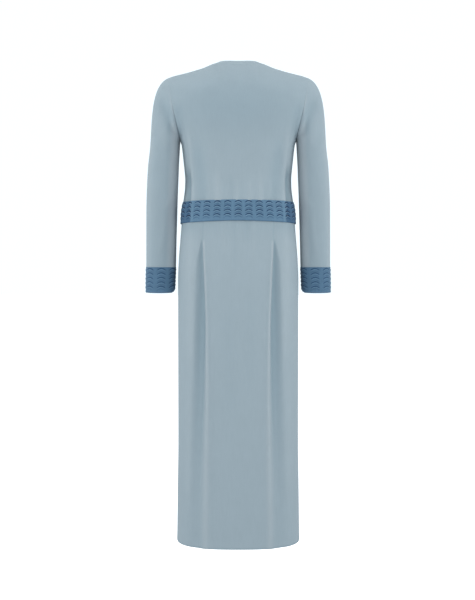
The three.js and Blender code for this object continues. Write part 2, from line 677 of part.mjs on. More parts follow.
addPiece("neckband", neckband(), bodyKnit);
addPiece("bodice_back", topPanel("back", topBack), bodyKnit);
addPiece("bodice_front", topPanel("front", topFront), bodyKnit);
addPiece("sleeve_left", leftSleeve, bodyKnit);
addPiece("sleeve_right", mirrored(leftSleeve), bodyKnit);
addPiece("cuff_left", leftCuff, cuffKnit);
addPiece("cuff_right", mirrored(leftCuff), cuffKnit);
addPiece("waistband", scallopRing(skirtSurface, WAIST_RELIEF, BAND_HEM, BAND_TOP, BAND_STANDOFF), bandKnit);
addPiece("skirt_back", skirtPanel(SKIRT_BACK_LEVELS, skirtBackRow, 1), bodyKnit);
addPiece("skirt_front", skirtPanel(SKIRT_FRONT_LEVELS, skirtFrontRow, -1), bodyKnit);

export default dress;
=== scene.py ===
# %% [markdown]
# # A long knitted dress with nobody in it
# The dress hangs open and hollow, in the shape that a wearer would give it: a smooth fine-knit
# top with long sleeves, a column skirt with two pleats behind, and a waistband and cuffs in a
# darker knit with rows of small scallops. The packed solids come in first. They give the place
# and the size of every piece of cloth, and each is then replaced by a finer one.
# The dress could be modelled as one mesh, but pieces that meet in seams can each have their own
# cut, knit and folds, as on the real one.

# %% Bring in the solid parts
import math
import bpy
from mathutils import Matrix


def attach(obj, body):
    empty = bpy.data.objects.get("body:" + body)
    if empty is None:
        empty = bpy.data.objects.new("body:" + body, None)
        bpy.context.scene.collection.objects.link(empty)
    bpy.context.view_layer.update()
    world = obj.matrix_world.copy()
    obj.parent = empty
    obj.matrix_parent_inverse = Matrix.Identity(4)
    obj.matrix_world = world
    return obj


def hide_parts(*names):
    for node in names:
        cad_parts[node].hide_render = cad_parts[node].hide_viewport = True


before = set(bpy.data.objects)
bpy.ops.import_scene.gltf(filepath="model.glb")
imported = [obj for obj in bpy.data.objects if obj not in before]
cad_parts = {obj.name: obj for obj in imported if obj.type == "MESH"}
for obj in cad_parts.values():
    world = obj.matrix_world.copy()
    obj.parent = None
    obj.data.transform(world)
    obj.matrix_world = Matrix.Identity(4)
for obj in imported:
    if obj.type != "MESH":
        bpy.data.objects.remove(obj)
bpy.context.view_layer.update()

from types import SimpleNamespace

import bpy
import numpy as np

MM = 0.001  # all sizes below are in millimetres, and Blender's are in metres

# %% [markdown]
# ## The camera
# A level camera stands behind the dress, a little above its middle. It could be tilted to frame
# the dress, but a small shift of its lens does the same and keeps upright lines upright.

# %% Set up the camera
camera = bpy.data.objects.new("camera", bpy.data.cameras.new("camera"))
bpy.context.scene.collection.objects.link(camera)
camera.location = (0, 2.55, -0.557)
camera.rotation_euler = (math.radians(90), 0, math.radians(180))
camera.data.lens = 53.68
camera.data.shift_x = -0.0012
camera.data.shift_y = -0.0568
bpy.context.scene.camera = camera
print("camera at", tuple(camera.location), "lens", camera.data.lens)

# %% [markdown]
# ## Smooth curves through short tables
# A dressmaker draws a pattern from a few measures and a curved ruler. The tables below hold such
# measures. Straight lines between them would show as corners in the cloth, and a common spline
# swings past them, so this ruler joins them smoothly and never passes one.

# %% The curved ruler
def monotone(at, value, tangent):
    """Reads a smooth curve through the values, which stays level past its ends."""
    def read(x):
        x = np.clip(x, at[0], at[-1])
        i = np.clip(np.searchsorted(at, x, side="right") - 1, 0, len(at) - 2)
        span = at[i + 1] - at[i]
        s = (x - at[i]) / span
        bend = span * s * (1 - s) * ((1 - s) * tangent[i] - s * tangent[i + 1])
        return value[i] + (value[i + 1] - value[i]) * s * s * (3 - 2 * s) + bend
    return read


def curves(names, rows):
    """Every named column of a table as a curve over the table's first column."""
    grid = np.array(sorted(rows), float).T
    made = {}
    for name, value in zip(names.split(), grid[1:]):
        slope = np.diff(value) / np.diff(grid[0])
        product = slope[:-1] * slope[1:]
        total = np.where(product > 0, slope[:-1] + slope[1:], 1)
        middle = np.where(product > 0, 2 * product / total, 0)
        made[name] = monotone(grid[0], value, np.concatenate([slope[:1], middle, slope[-1:]]))
    return SimpleNamespace(**made)


print("halfway from 0 to 10:", float(curves("height", [(0, 0), (1, 10)]).height(0.5)))

# %% Soft steps and hills
def ease(share):
    """A soft step from 0 to 1."""
    s = np.clip(share, 0, 1)
    return s * s * (3 - 2 * s)


def bump(distance, wide):
    """A soft round hill, 1 at its top."""
    return np.exp(-((distance / wide) ** 2))


def mix(a, b, share):
    return a + (b - a) * share


def stack(x, y, z):
    """Three columns of numbers as one list of points."""
    return np.stack(np.broadcast_arrays(x, y, z), axis=-1).astype(float)


print("half of a soft step:", float(ease(0.5)))

# %% [markdown]
# ## The measures
# All heights are measured from the level where the shoulders carry the dress. Widths are half
# widths at the side seams, and depths run from the plane of the side seams to back and front.
# They could be read off the solids, but a table in millimetres can be read and changed by hand.

# %% Heights and walls
CLOTH = 2.0  # wall of the plain knit
BAND_CLOTH = 2.4  # wall of the scallop knit
NECK_CLOTH = 2.8  # wall of the folded neckband
ROUNDNESS = 2.37  # how square a level section of the body is; 2 is an ellipse
BAND_TOP, BAND_HEM = -376.8, -438
SKIRT_TOP, SKIRT_HEM = -383, -1329
PIT = -201  # the armhole's foot
SLEEVE_TOP_SECTION = -235  # where the sleeve's tube ends and its cap begins
CUFF_TOP, CUFF_HEM = -560.7, -632.5
print("waistband", round(BAND_TOP - BAND_HEM, 1), "mm, cuff", round(CUFF_TOP - CUFF_HEM, 1), "mm")

# %% Table of the top
top = curves("side back front", [
    (-377, 156.4, 107, 106),
    (-356, 153.4, 104.5, 103.8),
    (-335, 151.2, 103.2, 103),
    (-313, 150.6, 103, 104),
    (-285, 152.6, 104, 107.5),
    (-257, 155.6, 106, 112.5),
    (-228, 158.8, 108.4, 117.5),
    (-213, 161, 109.3, 118.8),
    (-201, 164.8, 109.8, 119.5),
    (-160, 164.4, 110.5, 118),
    (-120, 164.4, 108, 110),
    (-80, 164.4, 100, 97),
    (-50, 164.4, 90.5, 82),
    (-20, 164.4, 76, 65.5),
    (3, 164.4, 62, 56),
    (16, 164.4, 53, 51),
    (40, 164.4, 40, 40),
])
print("half-width of the waist:", float(top.side(-313)), "mm")

# %% Shoulder, armhole and neck
SHOULDER_LINE = [  # from the middle outwards: place across, height
    (0, 95), (20, 80), (36, 54), (48, 33), (56, 22.8), (65, 19.8), (74, 16.9), (87, 11.3),
    (100, 5.7), (118, 0), (137, -5.7), (159, -11.4), (183, -17.4), (197, -22.2),
]
shoulder_at = curves("height", SHOULDER_LINE).height
TIP_X, TIP_Z = SHOULDER_LINE[-1]
SHOULDER_ROUND = {"back": 90, "front": 80}
armhole_at = curves("across", [
    (-204, 164.4), (-190, 166.6), (-150, 175), (-120, 182), (-80, 189), (-50, 193.4), (-22.2, 197),
]).across
ARMHOLE_DEPTH = {"back": 58, "front": 55}
NECK_EDGE = {"side": 56, "back": 7.3, "front": 61}
NECK_SEAM = {"side": 65, "back": 16.8, "front": 69}
print("tip of the shoulder:", TIP_X, "mm out,", TIP_Z, "mm up")

# %% Table of the sleeve
sleeve = curves("x y half depth", [
    (-235, 209.4, 0, 42.1, 58),
    (-270, 212.4, 0, 43.2, 57),
    (-313, 214.6, -1, 43.8, 56),
    (-370, 217, -3, 43.9, 54),
    (-427, 218.3, -6, 43.5, 51),
    (-485, 219.5, -9, 42.8, 48),
    (-556, 220.7, -13, 42.2, 45),
    (-590, 221.9, -15, 41.9, 44),
    (-633, 223.1, -18, 41.3, 43),
])
print("half-width of the sleeve at its cuff:", round(float(sleeve.half(CUFF_TOP)), 1), "mm")

# %% Tables of the skirt and its pleats
skirt = curves("side back front round", [
    (-370, 152.6, 103.4, 102.6, ROUNDNESS),
    (-385, 156.6, 105.6, 104.8, ROUNDNESS),
    (-413, 160.2, 108.4, 107.4, ROUNDNESS),
    (-441, 161.2, 110.6, 109.4, ROUNDNESS),
    (-485, 164.5, 113.6, 112, ROUNDNESS),
    (-541, 168.8, 116.4, 114.6, ROUNDNESS),
    (-600, 171, 118, 116.4, ROUNDNESS),
    (-770, 170.6, 118.6, 117.6, 2.42),
    (-1050, 170, 118, 118, 2.52),
    (-1168, 171.4, 118, 118, 2.58),
    (-1329, 173.3, 118, 118, 2.68),
])
pleat = curves("left right sink stand drop deepest reach roll", [
    (-370, 95, 95, 0.4, 0, 2, 3, 8, 6),
    (-480, 95.5, 95, 0.4, 0, 2, 3, 8, 6),
    (-500, 95, 94.5, 3.5, 0.8, 2, 3, 12, 5),
    (-541, 93.5, 93, 8, 1.5, 2.2, 4, 24, 5),
    (-570, 92, 91.5, 9.5, 1.8, 2.6, 5, 28, 5),
    (-655, 88.5, 88, 11, 2.2, 3.4, 8, 36, 6),
    (-735, 86.2, 85.2, 10.5, 2.6, 5, 13, 41, 7),
    (-900, 86, 84, 9, 3.4, 9, 17, 45, 12),
    (-1060, 88, 85, 7, 3.6, 14, 20, 48, 13),
    (-1230, 89.4, 87.5, 4.6, 3, 20, 24, 52, 14),
    (-1329, 90, 88.5, 2.2, 1.2, 22, 25, 54, 15),
])
print("half-width of the hem:", float(skirt.side(SKIRT_HEM)), "mm")

# %% [markdown]
# ## Laying cloth on a form
# Each piece starts as a flat grid, like cloth on the cutting table, and every point of it is
# then laid in its place on the body's form. A cloth simulation could drop it there, but it would
# fall anew after every change, and folds that are placed stay where they are wanted. The grid
# keeps its flat size as a UV map, so the knit runs along the cloth.
#
# Folds are raised along the surface's own direction. At last the sheet gets its wall on the
# inside, so that the outside stays where it was laid, and a bevel rounds its free edges. Under a
# knitted relief the inner wall is laid plain.

# %% Points and directions
def read_points(piece):
    flat = np.empty(len(piece.data.vertices) * 3)
    piece.data.vertices.foreach_get("co", flat)
    return flat.reshape(-1, 3)


def unit(vectors):
    return vectors / np.maximum(np.linalg.norm(vectors, axis=-1, keepdims=True), 1e-12)


def facing_of(form, u, v, closed, step=1e-3):
    """The outward direction of a form, whose u runs anticlockwise and whose v runs up."""
    low, high = u - step, u + step
    if not closed:
        low, high = np.maximum(low, 0), np.minimum(high, 1)
    along = form(high, v) - form(low, v)
    up = form(u, np.minimum(v + step, 1)) - form(u, np.maximum(v - step, 0))
    return unit(np.cross(along, up))


print("unit of (3, 4):", unit(np.array([3.0, 4.0])))

# %% A wall and a rim
RIM = 0.5  # radius of a rounded rim
WELD = 0.02 * MM  # points nearer than this become one
SOFT_CORNER = math.radians(50)  # the shading smooths up to this angle


def mark_rim(mesh):
    """Marks the free edges of a sheet, which only one face uses, for the bevel."""
    used = np.empty(len(mesh.loops), np.int32)
    mesh.loops.foreach_get("edge_index", used)
    free = np.bincount(used, minlength=len(mesh.edges)) == 1
    mark = mesh.attributes.new("bevel_weight_edge", "FLOAT", "EDGE")
    mark.data.foreach_set("value", free.astype(np.float32))


def smooth_inside(piece, laid):
    """Takes the relief out of the inner wall, whose plain places wait in an attribute."""
    points = read_points(piece)
    plain = np.empty(points.size)
    piece.data.attributes["inside"].data.foreach_get("vector", plain)
    inner = np.linalg.norm(points - np.tile(laid, (2, 1)), axis=1) > WELD
    points[inner] = plain.reshape(-1, 3)[inner]
    piece.data.vertices.foreach_set("co", points.ravel())
    piece.data.attributes.remove(piece.data.attributes["inside"])


def finish_mesh(piece, wall):
    """Gives a sheet its wall on the inside, and rounds the edges of that wall."""
    laid = read_points(piece)
    mark_rim(piece.data)
    solid = piece.modifiers.new("wall", "SOLIDIFY")
    solid.thickness, solid.offset = wall * MM, -1
    solid.use_quality_normals = True
    bpy.ops.object.modifier_apply(modifier="wall")
    if "inside" in piece.data.attributes:
        smooth_inside(piece, laid)
    rounding = piece.modifiers.new("rim", "BEVEL")
    rounding.width, rounding.segments, rounding.limit_method = RIM * MM, 2, "WEIGHT"
    bpy.ops.object.modifier_apply(modifier="rim")
    bpy.ops.object.shade_smooth_by_angle(angle=SOFT_CORNER)


print("rims are rounded by", RIM, "mm")

# %% Lay a piece of cloth
def lay_cloth(name, form, grid, flat, relief, closed=False, wall=CLOTH, plain_inside=False):
    """Lays a flat grid on a form. flat is the width and height that its knit is measured in."""
    bpy.ops.object.select_all(action="DESELECT")
    bpy.ops.mesh.primitive_grid_add(x_subdivisions=grid[0], y_subdivisions=grid[1], size=1)
    piece = bpy.context.object
    piece.name = piece.data.name = name + "_cloth"
    square = read_points(piece)
    u, v = square[:, 0] + 0.5, square[:, 1] + 0.5
    points, outward = form(u, v), facing_of(form, u, v, closed)
    lift, painted_shade = relief(u, v, points)
    piece.data.vertices.foreach_set("co", ((points + outward * lift[:, None]) * MM).ravel())
    if plain_inside:
        inside = piece.data.attributes.new("inside", "FLOAT_VECTOR", "POINT")
        inside.data.foreach_set("vector", ((points - outward * wall) * MM).ravel())
    # The relief's second value is painted shade for the material, and where it is negative, a
    # painted highlight.
    shade = piece.data.attributes.new("painted_shade", "FLOAT", "POINT")
    shade.data.foreach_set("value", painted_shade.astype(np.float32))
    uv = np.empty(len(piece.data.loops) * 2)
    piece.data.uv_layers.active.data.foreach_get("uv", uv)
    uv = uv.reshape(-1, 2) * np.array(flat) * MM
    piece.data.uv_layers.active.data.foreach_set("uv", uv.ravel())
    piece.data.update()
    if closed:
        bpy.ops.object.mode_set(mode="EDIT")
        bpy.ops.mesh.select_all(action="SELECT")
        bpy.ops.mesh.remove_doubles(threshold=WELD)
        bpy.ops.object.mode_set(mode="OBJECT")
    finish_mesh(piece, wall)
    print(name, "laid:", len(piece.data.polygons), "faces")
    return piece


def mirrored(form):
    """The same form on the other side of the body."""
    return lambda u, v: form(1 - u, v) * np.array([-1, 1, 1])


print("cloth is", CLOTH, "mm thick, scallop knit", BAND_CLOTH, "mm")

# %% [markdown]
# ## Creases
# Cloth that nothing pulls lies in long soft folds. They could be painted as bumps, but then the
# outline would stay smooth and the light would miss them. So each is placed as a line with its own
# width and height, and it swells and dies out along its length. A seam is a fine valley: the cloth
# on both sides of it swells by a fraction of a millimetre and turns in to the stitches.

# %% Creases
def crease(across, up, line, wide, high, fade=0.25):
    """How far one crease lifts the cloth. Its line is a list of (across, up) places."""
    line = np.array(line, float)
    lengths = np.linalg.norm(np.diff(line, axis=0), axis=1)
    total, gone = lengths.sum(), 0.0
    best, place = np.full(np.shape(across), np.inf), np.zeros(np.shape(across))
    for start, end, length in zip(line[:-1], line[1:], lengths):
        way = (end - start) / length
        share = np.clip((across - start[0]) * way[0] + (up - start[1]) * way[1], 0, length)
        away = np.hypot(across - start[0] - way[0] * share, up - start[1] - way[1] * share)
        nearer = away < best
        best = np.where(nearer, away, best)
        place = np.where(nearer, (gone + share) / total, place)
        gone += length
    strength = ease(place / fade) * ease((1 - place) / fade)
    return high * bump(best, wide) * strength


def creases(across, up, rows):
    """Several creases together: rows of line, width and height."""
    return sum(crease(across, up, line, wide, high) for line, wide, high in rows)


middle_of_one = crease(np.array(0.0), np.array(5.0), [(0, 0), (0, 10)], wide=3, high=2)
print("a crease 2 mm high lifts its middle by", float(middle_of_one), "mm")

# %% Seams and the armhole's crease
def seam(away, high=0.4, swell=6.0, stitch=1.8):
    """The lift beside a seam, by the distance from it. On the seam itself it is nothing."""
    return high * (bump(away, swell) - bump(away, stitch))


def armhole_lift(away, z):
    """The cloth beside the armhole sinks softly towards the under-arm, and swells at the seam."""
    # The valley is 2.2 mm deep, 14 mm beside the seam, and is gone at the armhole's foot.
    low, above_foot = ease((-85 - z) / 55), ease((z + 205) / 30)
    valley = 2.2 * above_foot * bump(away - 14, 10) * ease(away / 14)
    return low * seam(away, 0.1, 9, 3) - low * valley


def armhole_shade(away, z):
    """Less light reaches the cloth close to the armhole's seam."""
    return ease((-100 - z) / 60) * (0.16 * bump(away, 3.5) + 0.12 * bump(away, 12))


def nearest(points, line):
    """The distance from each point to a line given by many points."""
    away = np.full(len(points), np.inf)
    for place in line:
        away = np.minimum(away, np.linalg.norm(points - place, axis=1))
    return away


print("a seam swells by", round(float(seam(4.0)), 2), "mm beside its stitches")

# %% [markdown]
# ## The top
# Back and front are cut as two panels that meet in the shoulder and side seams. A level section
# of the body is an oval a little squarer than an ellipse, and it rounds over to the shoulders.
# The panels could be cut out of a body's mesh, but then they would carry its shape and not the
# cloth's. Here the rows of a grid climb from the waistband to the armhole's foot and fan out from
# there, so seams and edges lie exactly where the grid ends.

# %% Level sections of the top
SIDE_SHARE = 6 / 16  # of the grid's height, below the armhole
SHOULDER_SHARE = 6 / 11  # of half the grid's width, along the shoulder seam


def shoulder_rounding(side, x, z):
    below = (shoulder_at(np.abs(x)) - z) / SHOULDER_ROUND[side]
    return np.sqrt(1 - (1 - np.clip(below, 0, 1)) ** 2)


def section_width(side, z):
    """Half-width of the level oval that passes through the armhole at that height."""
    height = np.clip(z, PIT, TIP_Z - 1)
    edge = armhole_at(height)
    deep = getattr(top, side)(height) * shoulder_rounding(side, edge, height)
    across = 2 * (height - PIT) / (TIP_Z - PIT) - 1
    share = ARMHOLE_DEPTH[side] * np.sqrt(np.maximum(0, 1 - across * across)) / deep
    return np.where(z <= PIT, top.side(z), edge / (1 - share ** ROUNDNESS) ** (1 / ROUNDNESS))


def top_depth(side, x, z):
    share = np.clip(np.abs(x) / section_width(side, z), 0, 1)
    oval = (1 - share ** ROUNDNESS) ** (1 / ROUNDNESS)
    return getattr(top, side)(z) * oval * shoulder_rounding(side, x, z)


def top_edge(side, x):
    """Height of a panel's upper edge: the shoulder seam, then the neck."""
    across = np.clip(np.abs(x) / NECK_SEAM["side"], 0, 1)
    neck = shoulder_at(NECK_SEAM["side"]) - NECK_SEAM[side] * (1 - across ** 2)
    return np.where(across >= 1, shoulder_at(np.abs(x)), neck)


print("half-width at the chest:", round(float(section_width("back", -120.0)), 1), "mm")

# %% The panels of the top
def top_form(side):
    """Back or front of the top. u runs from side to side, v from the waistband up."""
    facing = 1 if side == "back" else -1

    def place(u, v):
        from_edge = 1 - np.abs(1 - 2 * u)  # 0 at either side, 1 in the middle
        rise = np.clip((v - SIDE_SHARE) / (1 - SIDE_SHARE), 0, 1)
        up_side = mix(BAND_TOP, PIT, np.minimum(v / SIDE_SHARE, 1))
        climb = (1 - np.cos(np.pi * rise)) / 2
        up_armhole = mix(PIT, TIP_Z, climb)
        height = np.where(rise > 0, up_armhole, up_side)
        half = np.where(rise > 0, armhole_at(height), top.side(height))
        even = np.cos(from_edge * np.pi / 2)
        neck = NECK_SEAM["side"] / TIP_X
        in_neck = np.clip((from_edge - SHOULDER_SHARE) / (1 - SHOULDER_SHARE), 0, 1)
        on_edge = np.where(
            from_edge < SHOULDER_SHARE,
            mix(1, neck, from_edge / SHOULDER_SHARE),
            neck * np.cos(in_neck * np.pi / 2),
        )
        x = np.sign(1 - 2 * u) * facing * half * mix(even, on_edge, ease(rise))
        z = height + climb * (top_edge(side, x) - TIP_Z)
        return stack(x, facing * top_depth(side, x, z), z)

    return place


top_back, top_front = top_form("back"), top_form("front")
print("neck seam behind:", np.round(top_back(np.array([0.5]), np.array([1.0]))[0], 1))

# %% The armhole
def armhole_point(turn):
    """The armhole by its turn: 0 at the shoulder's tip, half a turn at its foot, back between."""
    z = mix(PIT, TIP_Z, (1 + np.cos(turn)) / 2)
    depth = np.where(np.sin(turn) >= 0, ARMHOLE_DEPTH["back"], ARMHOLE_DEPTH["front"])
    return stack(armhole_at(z), depth * np.sin(turn), z)


AROUND = np.linspace(0, 2 * np.pi, 181)
ARMHOLE = armhole_point(AROUND)
armhole_length = np.linalg.norm(np.diff(ARMHOLE, axis=0), axis=1).sum()
print("armhole length:", round(float(armhole_length)), "mm")

# %% [markdown]
# ## Folds of the top
# The back hangs from the shoulder blades in two long folds, and the cloth gathers over the band in
# short ones. They could be sculpted, but lines with a width and a height can be moved one by one,
# and no two need be alike. The front has similar ones of its own.

# %% Folds of the top
BACK_FOLDS = [  # line of (across, up), half-width, height
    ([(127, -470), (127, -377), (130, -270), (136, -200), (142, -150)], 7, 3.2),
    ([(-128, -470), (-128, -377), (-130, -270), (-136, -200), (-142, -150)], 7, 3.2),
    ([(142, -460), (141, -377), (139, -330), (142, -270)], 9, -8),
    ([(-143, -460), (-142, -377), (-139, -325), (-142, -265)], 9, -8),
    ([(98, -470), (99, -377), (105, -310), (114, -250), (123, -190)], 20, -4.2),
    ([(-97, -470), (-99, -377), (-105, -315), (-114, -250), (-123, -190)], 20, -4.2),
    ([(82, -440), (82, -345), (82, -305)], 5, 1.3),
    ([(57, -450), (56, -350), (55, -280)], 9, 2.2),
    ([(36, -440), (36, -350), (37, -310)], 5, -0.8),
    ([(18, -450), (18, -350), (20, -300)], 7, -1.8),
    ([(4, -440), (4, -350), (3, -315)], 5, 1.0),
    ([(-9, -440), (-9, -352), (-9, -322)], 5, -1.2),
    ([(-31, -440), (-31, -352), (-32, -310)], 6, 1.4),
    ([(-60, -440), (-60, -345), (-61, -290)], 7, 1.6),
    ([(-74, -440), (-74, -350), (-73, -318)], 5, -0.9),
    ([(-87, -440), (-87, -348), (-86, -310)], 4.5, 1.2),
    ([(166, -205), (160, -175), (163, -135), (174, -100)], 12, -2.2),
    ([(-166, -205), (-160, -175), (-163, -135), (-174, -100)], 12, -2.2),
]
FRONT_FOLDS = [
    ([(122, -380), (124, -310), (130, -240), (138, -190)], 13, 2.4),
    ([(-124, -380), (-126, -300), (-132, -230), (-138, -180)], 13, 2.4),
    ([(102, -384), (100, -345), (97, -305)], 5, 0.8),
    ([(58, -384), (57, -350), (54, -315)], 5, 0.7),
    ([(18, -384), (18, -350), (17, -310)], 5, 0.7),
    ([(-24, -384), (-24, -345), (-26, -300)], 5, 0.8),
    ([(-70, -384), (-70, -352), (-69, -320)], 5, 0.7),
    ([(164, -150), (140, -158), (112, -170), (84, -176)], 12, 2.2),
    ([(-164, -145), (-142, -154), (-114, -168), (-86, -174)], 12, 2.2),
    ([(168, -205), (161, -170), (163, -130), (172, -90)], 13, -2.2),
    ([(-168, -205), (-161, -170), (-163, -130), (-172, -90)], 13, -2.2),
    ([(84, -6), (70, -40), (44, -66), (16, -80)], 13, 1.2),
    ([(-84, -6), (-70, -42), (-46, -68), (-18, -82)], 13, 1.2),
]
print("folds of the top:", len(BACK_FOLDS), "behind and", len(FRONT_FOLDS), "in front")

# %% Lay back and front of the top
# Folds are painted lighter where they rise and get painted shade where they sink.
FOLD_SHADE = -0.055  # how much lighter each millimetre of a fold looks


def top_relief(folds):
    def lift(u, v, points):
        x, y, z = points.T
        from_seams = ease(np.abs(y) / 26)
        beside_arm = np.minimum(nearest(points, ARMHOLE), nearest(points * [-1, 1, 1], ARMHOLE))
        folded = creases(x, z, folds) * from_seams * ease(beside_arm / 12)
        sewn = seam(np.abs(y)) * ease(beside_arm / 8) + armhole_lift(beside_arm, z)
        # Between the shoulder blades the back leans away from the light.
        shade = 0.25 * bump(np.hypot(x / 210, (z + 115) / 90), 1) * (y > 0)
        return folded + sewn, armhole_shade(beside_arm, z) + FOLD_SHADE * folded + shade

    return lift


TOP_GRID = (132, 112)
bodice_back = lay_cloth("bodice_back", top_back, TOP_GRID, (420, 400), top_relief(BACK_FOLDS))
bodice_front = lay_cloth("bodice_front", top_front, TOP_GRID, (430, 400), top_relief(FRONT_FOLDS))

# %% [markdown]
# ## The sleeves
# A sleeve is a plain tube up to the armhole's foot. Above it the cap flows over to the armhole:
# it leaves the shoulder level with it, so no step shows there, and drops more freely under the
# arm, where top and sleeve meet in a soft crease. A bent cylinder would need its end trimmed to
# the armhole, so each thread of this cap runs as a smooth curve from the armhole to the tube.

# %% The tube of the sleeve
SLEEVE_ROUND = 2.45  # how square its level sections are
TUBE_SHARE = 0.5  # of the grid's height, below the cap


def tube_point(turn, z):
    c, s = np.cos(turn), np.sin(turn)
    reach = (np.abs(c) ** SLEEVE_ROUND + np.abs(s) ** SLEEVE_ROUND) ** (-1 / SLEEVE_ROUND)
    x = sleeve.x(z) + sleeve.half(z) * reach * c
    return stack(x, sleeve.y(z) + sleeve.depth(z) * reach * s, z)


print("outer side at the elbow:", np.round(tube_point(0.0, -370.0), 1))

# %% The cap of the sleeve
CAP_LEAVE, CAP_ARRIVE = 0.83, 0.91  # how firmly each thread keeps its direction at its two ends
CAP_FREE = {"out": 0.5, "under": 0.14, "aside": 0.2, "swing": 0.35, "fall": 0.65}
CAP_FREE_FROM, CAP_FREE_OVER = 0.5, 1.1  # where round the armhole the cloth begins to drop freely


def top_normal_at_armhole(turn):
    on_back = np.sin(turn) >= 0
    rise = 1 - np.where(on_back, turn, 2 * np.pi - turn) / np.pi
    v = SIDE_SHARE + (1 - SIDE_SHARE) * rise
    back = facing_of(top_back, np.zeros_like(v), v, False)
    front = facing_of(top_front, np.ones_like(v), v, False)
    return np.where(on_back[:, None], back, front)


def cap_leaves(turn):
    """The direction in which the cap leaves the armhole."""
    along = unit(armhole_point(turn + 0.01) - armhole_point(turn - 0.01))
    flush = np.cross(along, top_normal_at_armhole(turn))
    flush = np.where(flush[:, :1] < 0, -flush, flush)
    free = unit(stack(
        CAP_FREE["under"] + CAP_FREE["out"] * (1 + np.cos(turn)),
        CAP_FREE["aside"] * np.sin(turn),
        CAP_FREE["swing"] * np.cos(turn) - CAP_FREE["fall"],
    ))
    down = ease((CAP_FREE_FROM - np.cos(turn)) / CAP_FREE_OVER)[:, None]
    return unit(mix(flush, free, down))


def cap_point(turn, share):
    start, end = armhole_point(turn), tube_point(turn, SLEEVE_TOP_SECTION)
    length = np.linalg.norm(end - start, axis=1)[:, None]
    leave = cap_leaves(turn) * CAP_LEAVE * length
    arrive = (tube_point(turn, SLEEVE_TOP_SECTION - 1) - end) * CAP_ARRIVE * length
    s = share[:, None]
    return (
        start * (2 * s ** 3 - 3 * s ** 2 + 1)
        + leave * (s ** 3 - 2 * s ** 2 + s)
        + end * (3 * s ** 2 - 2 * s ** 3)
        + arrive * (s ** 3 - s ** 2)
    )


def sleeve_form(u, v):
    """The left sleeve. u runs round it from its outer side, v from the cuff up."""
    turn = (u * 2 * np.pi) % (2 * np.pi)
    tube = tube_point(turn, mix(CUFF_TOP, SLEEVE_TOP_SECTION, np.clip(v / TUBE_SHARE, 0, 1)))
    cap = cap_point(turn, np.clip((1 - v) / (1 - TUBE_SHARE), 0, 1))
    return np.where((v >= TUBE_SHARE)[:, None], cap, tube)


print("middle of the cap:", np.round(sleeve_form(np.array([0.0]), np.array([0.75]))[0], 1))

# %% [markdown]
# ## Folds of the sleeves
# A sleeve that hangs down folds a little at the armhole and at the elbow. As on the top, the folds
# are lines laid one by one, and the two sleeves share them, one as the other's mirror image. Both
# edges get a painted highlight, most the side towards the body, and the middle gets painted shade.

# %% Folds of the sleeves
SLEEVE_BACK_FOLDS = [  # line of (across, up) as seen from behind, half-width, height
    ([(214, -85), (203, -125), (190, -165), (178, -205)], 11, -2.6),
    ([(232, -112), (222, -150), (210, -192), (196, -240)], 12, 1.2),
    ([(236, -300), (240, -380), (238, -460)], 12, 0.9),
    ([(204, -400), (208, -450), (216, -500), (222, -545)], 9, 0.9),
    ([(190, -360), (198, -385), (210, -400)], 7, 1.0),
]
SLEEVE_FRONT_FOLDS = [
    ([(213, -90), (196, -125), (180, -168), (172, -205)], 11, -2.8),
    ([(190, -352), (206, -364), (226, -368), (244, -362)], 8, -2.6),
    ([(188, -372), (204, -380), (222, -381)], 7, 2.0),
    ([(190, -398), (206, -400), (222, -396)], 7, -1.8),
    ([(214, -250), (216, -300), (214, -345)], 11, 1.2),
    ([(206, -420), (212, -480), (218, -540)], 10, 1.2),
]
print("folds of a sleeve:", len(SLEEVE_BACK_FOLDS) + len(SLEEVE_FRONT_FOLDS))

# %% Lay the sleeves
def sleeve_relief(flip):
    def lift(u, v, points):
        x, y, z = (points * [flip, 1, 1]).T
        middle = sleeve.y(z)
        on_back = ease((y - middle + 14) / 28)
        behind = creases(x, z, SLEEVE_BACK_FOLDS)
        before = creases(x, z, SLEEVE_FRONT_FOLDS)
        beside_arm = nearest(points * [flip, 1, 1], ARMHOLE)
        free = ease(beside_arm / 12)
        under = np.hypot(x - (sleeve.x(z) - sleeve.half(z)), y - middle)
        sewn = seam(np.where(z < PIT, under, 99), 0.25)
        folded = mix(before, behind, on_back) * free
        # Painted highlight on the outer edge, where light reaches freely, and a stronger one on
        # the inner edge, where the body throws light back; painted shade in the middle and behind
        # the armhole.
        outwards = (x - sleeve.x(z)) / sleeve.half(z)
        shade = 0.1 - 0.24 * ease((outwards - 0.5) / 0.5) - 0.8 * ease((-0.3 - outwards) / 0.55)
        shade = shade * ease((-40 - z) / 60) + 0.5 * bump(beside_arm - 5, 7) * bump(z + 146, 32)
        painted_shade = armhole_shade(beside_arm, z) + FOLD_SHADE * folded + shade
        return folded + armhole_lift(beside_arm, z) + sewn, painted_shade

    return lift


sleeve_left, sleeve_right = (
    lay_cloth(name, form, (80, 120), (300, 540), sleeve_relief(flip), closed=True)
    for name, form, flip in (
        ("sleeve_left", sleeve_form, 1), ("sleeve_right", mirrored(sleeve_form), -1),
    )
)

# %% [markdown]
# ## The neckband
# A strip of the same knit, folded over double, finishes the neck. It could be a tube swept round
# the neck, but a strip laid on the top's own surface keeps the shoulders' slope. It stands a
# little fuller than the top and is joined to it by a fine seam.

# %% Neckband
NECKBAND_FULL = 0.45  # how far its middle stands out


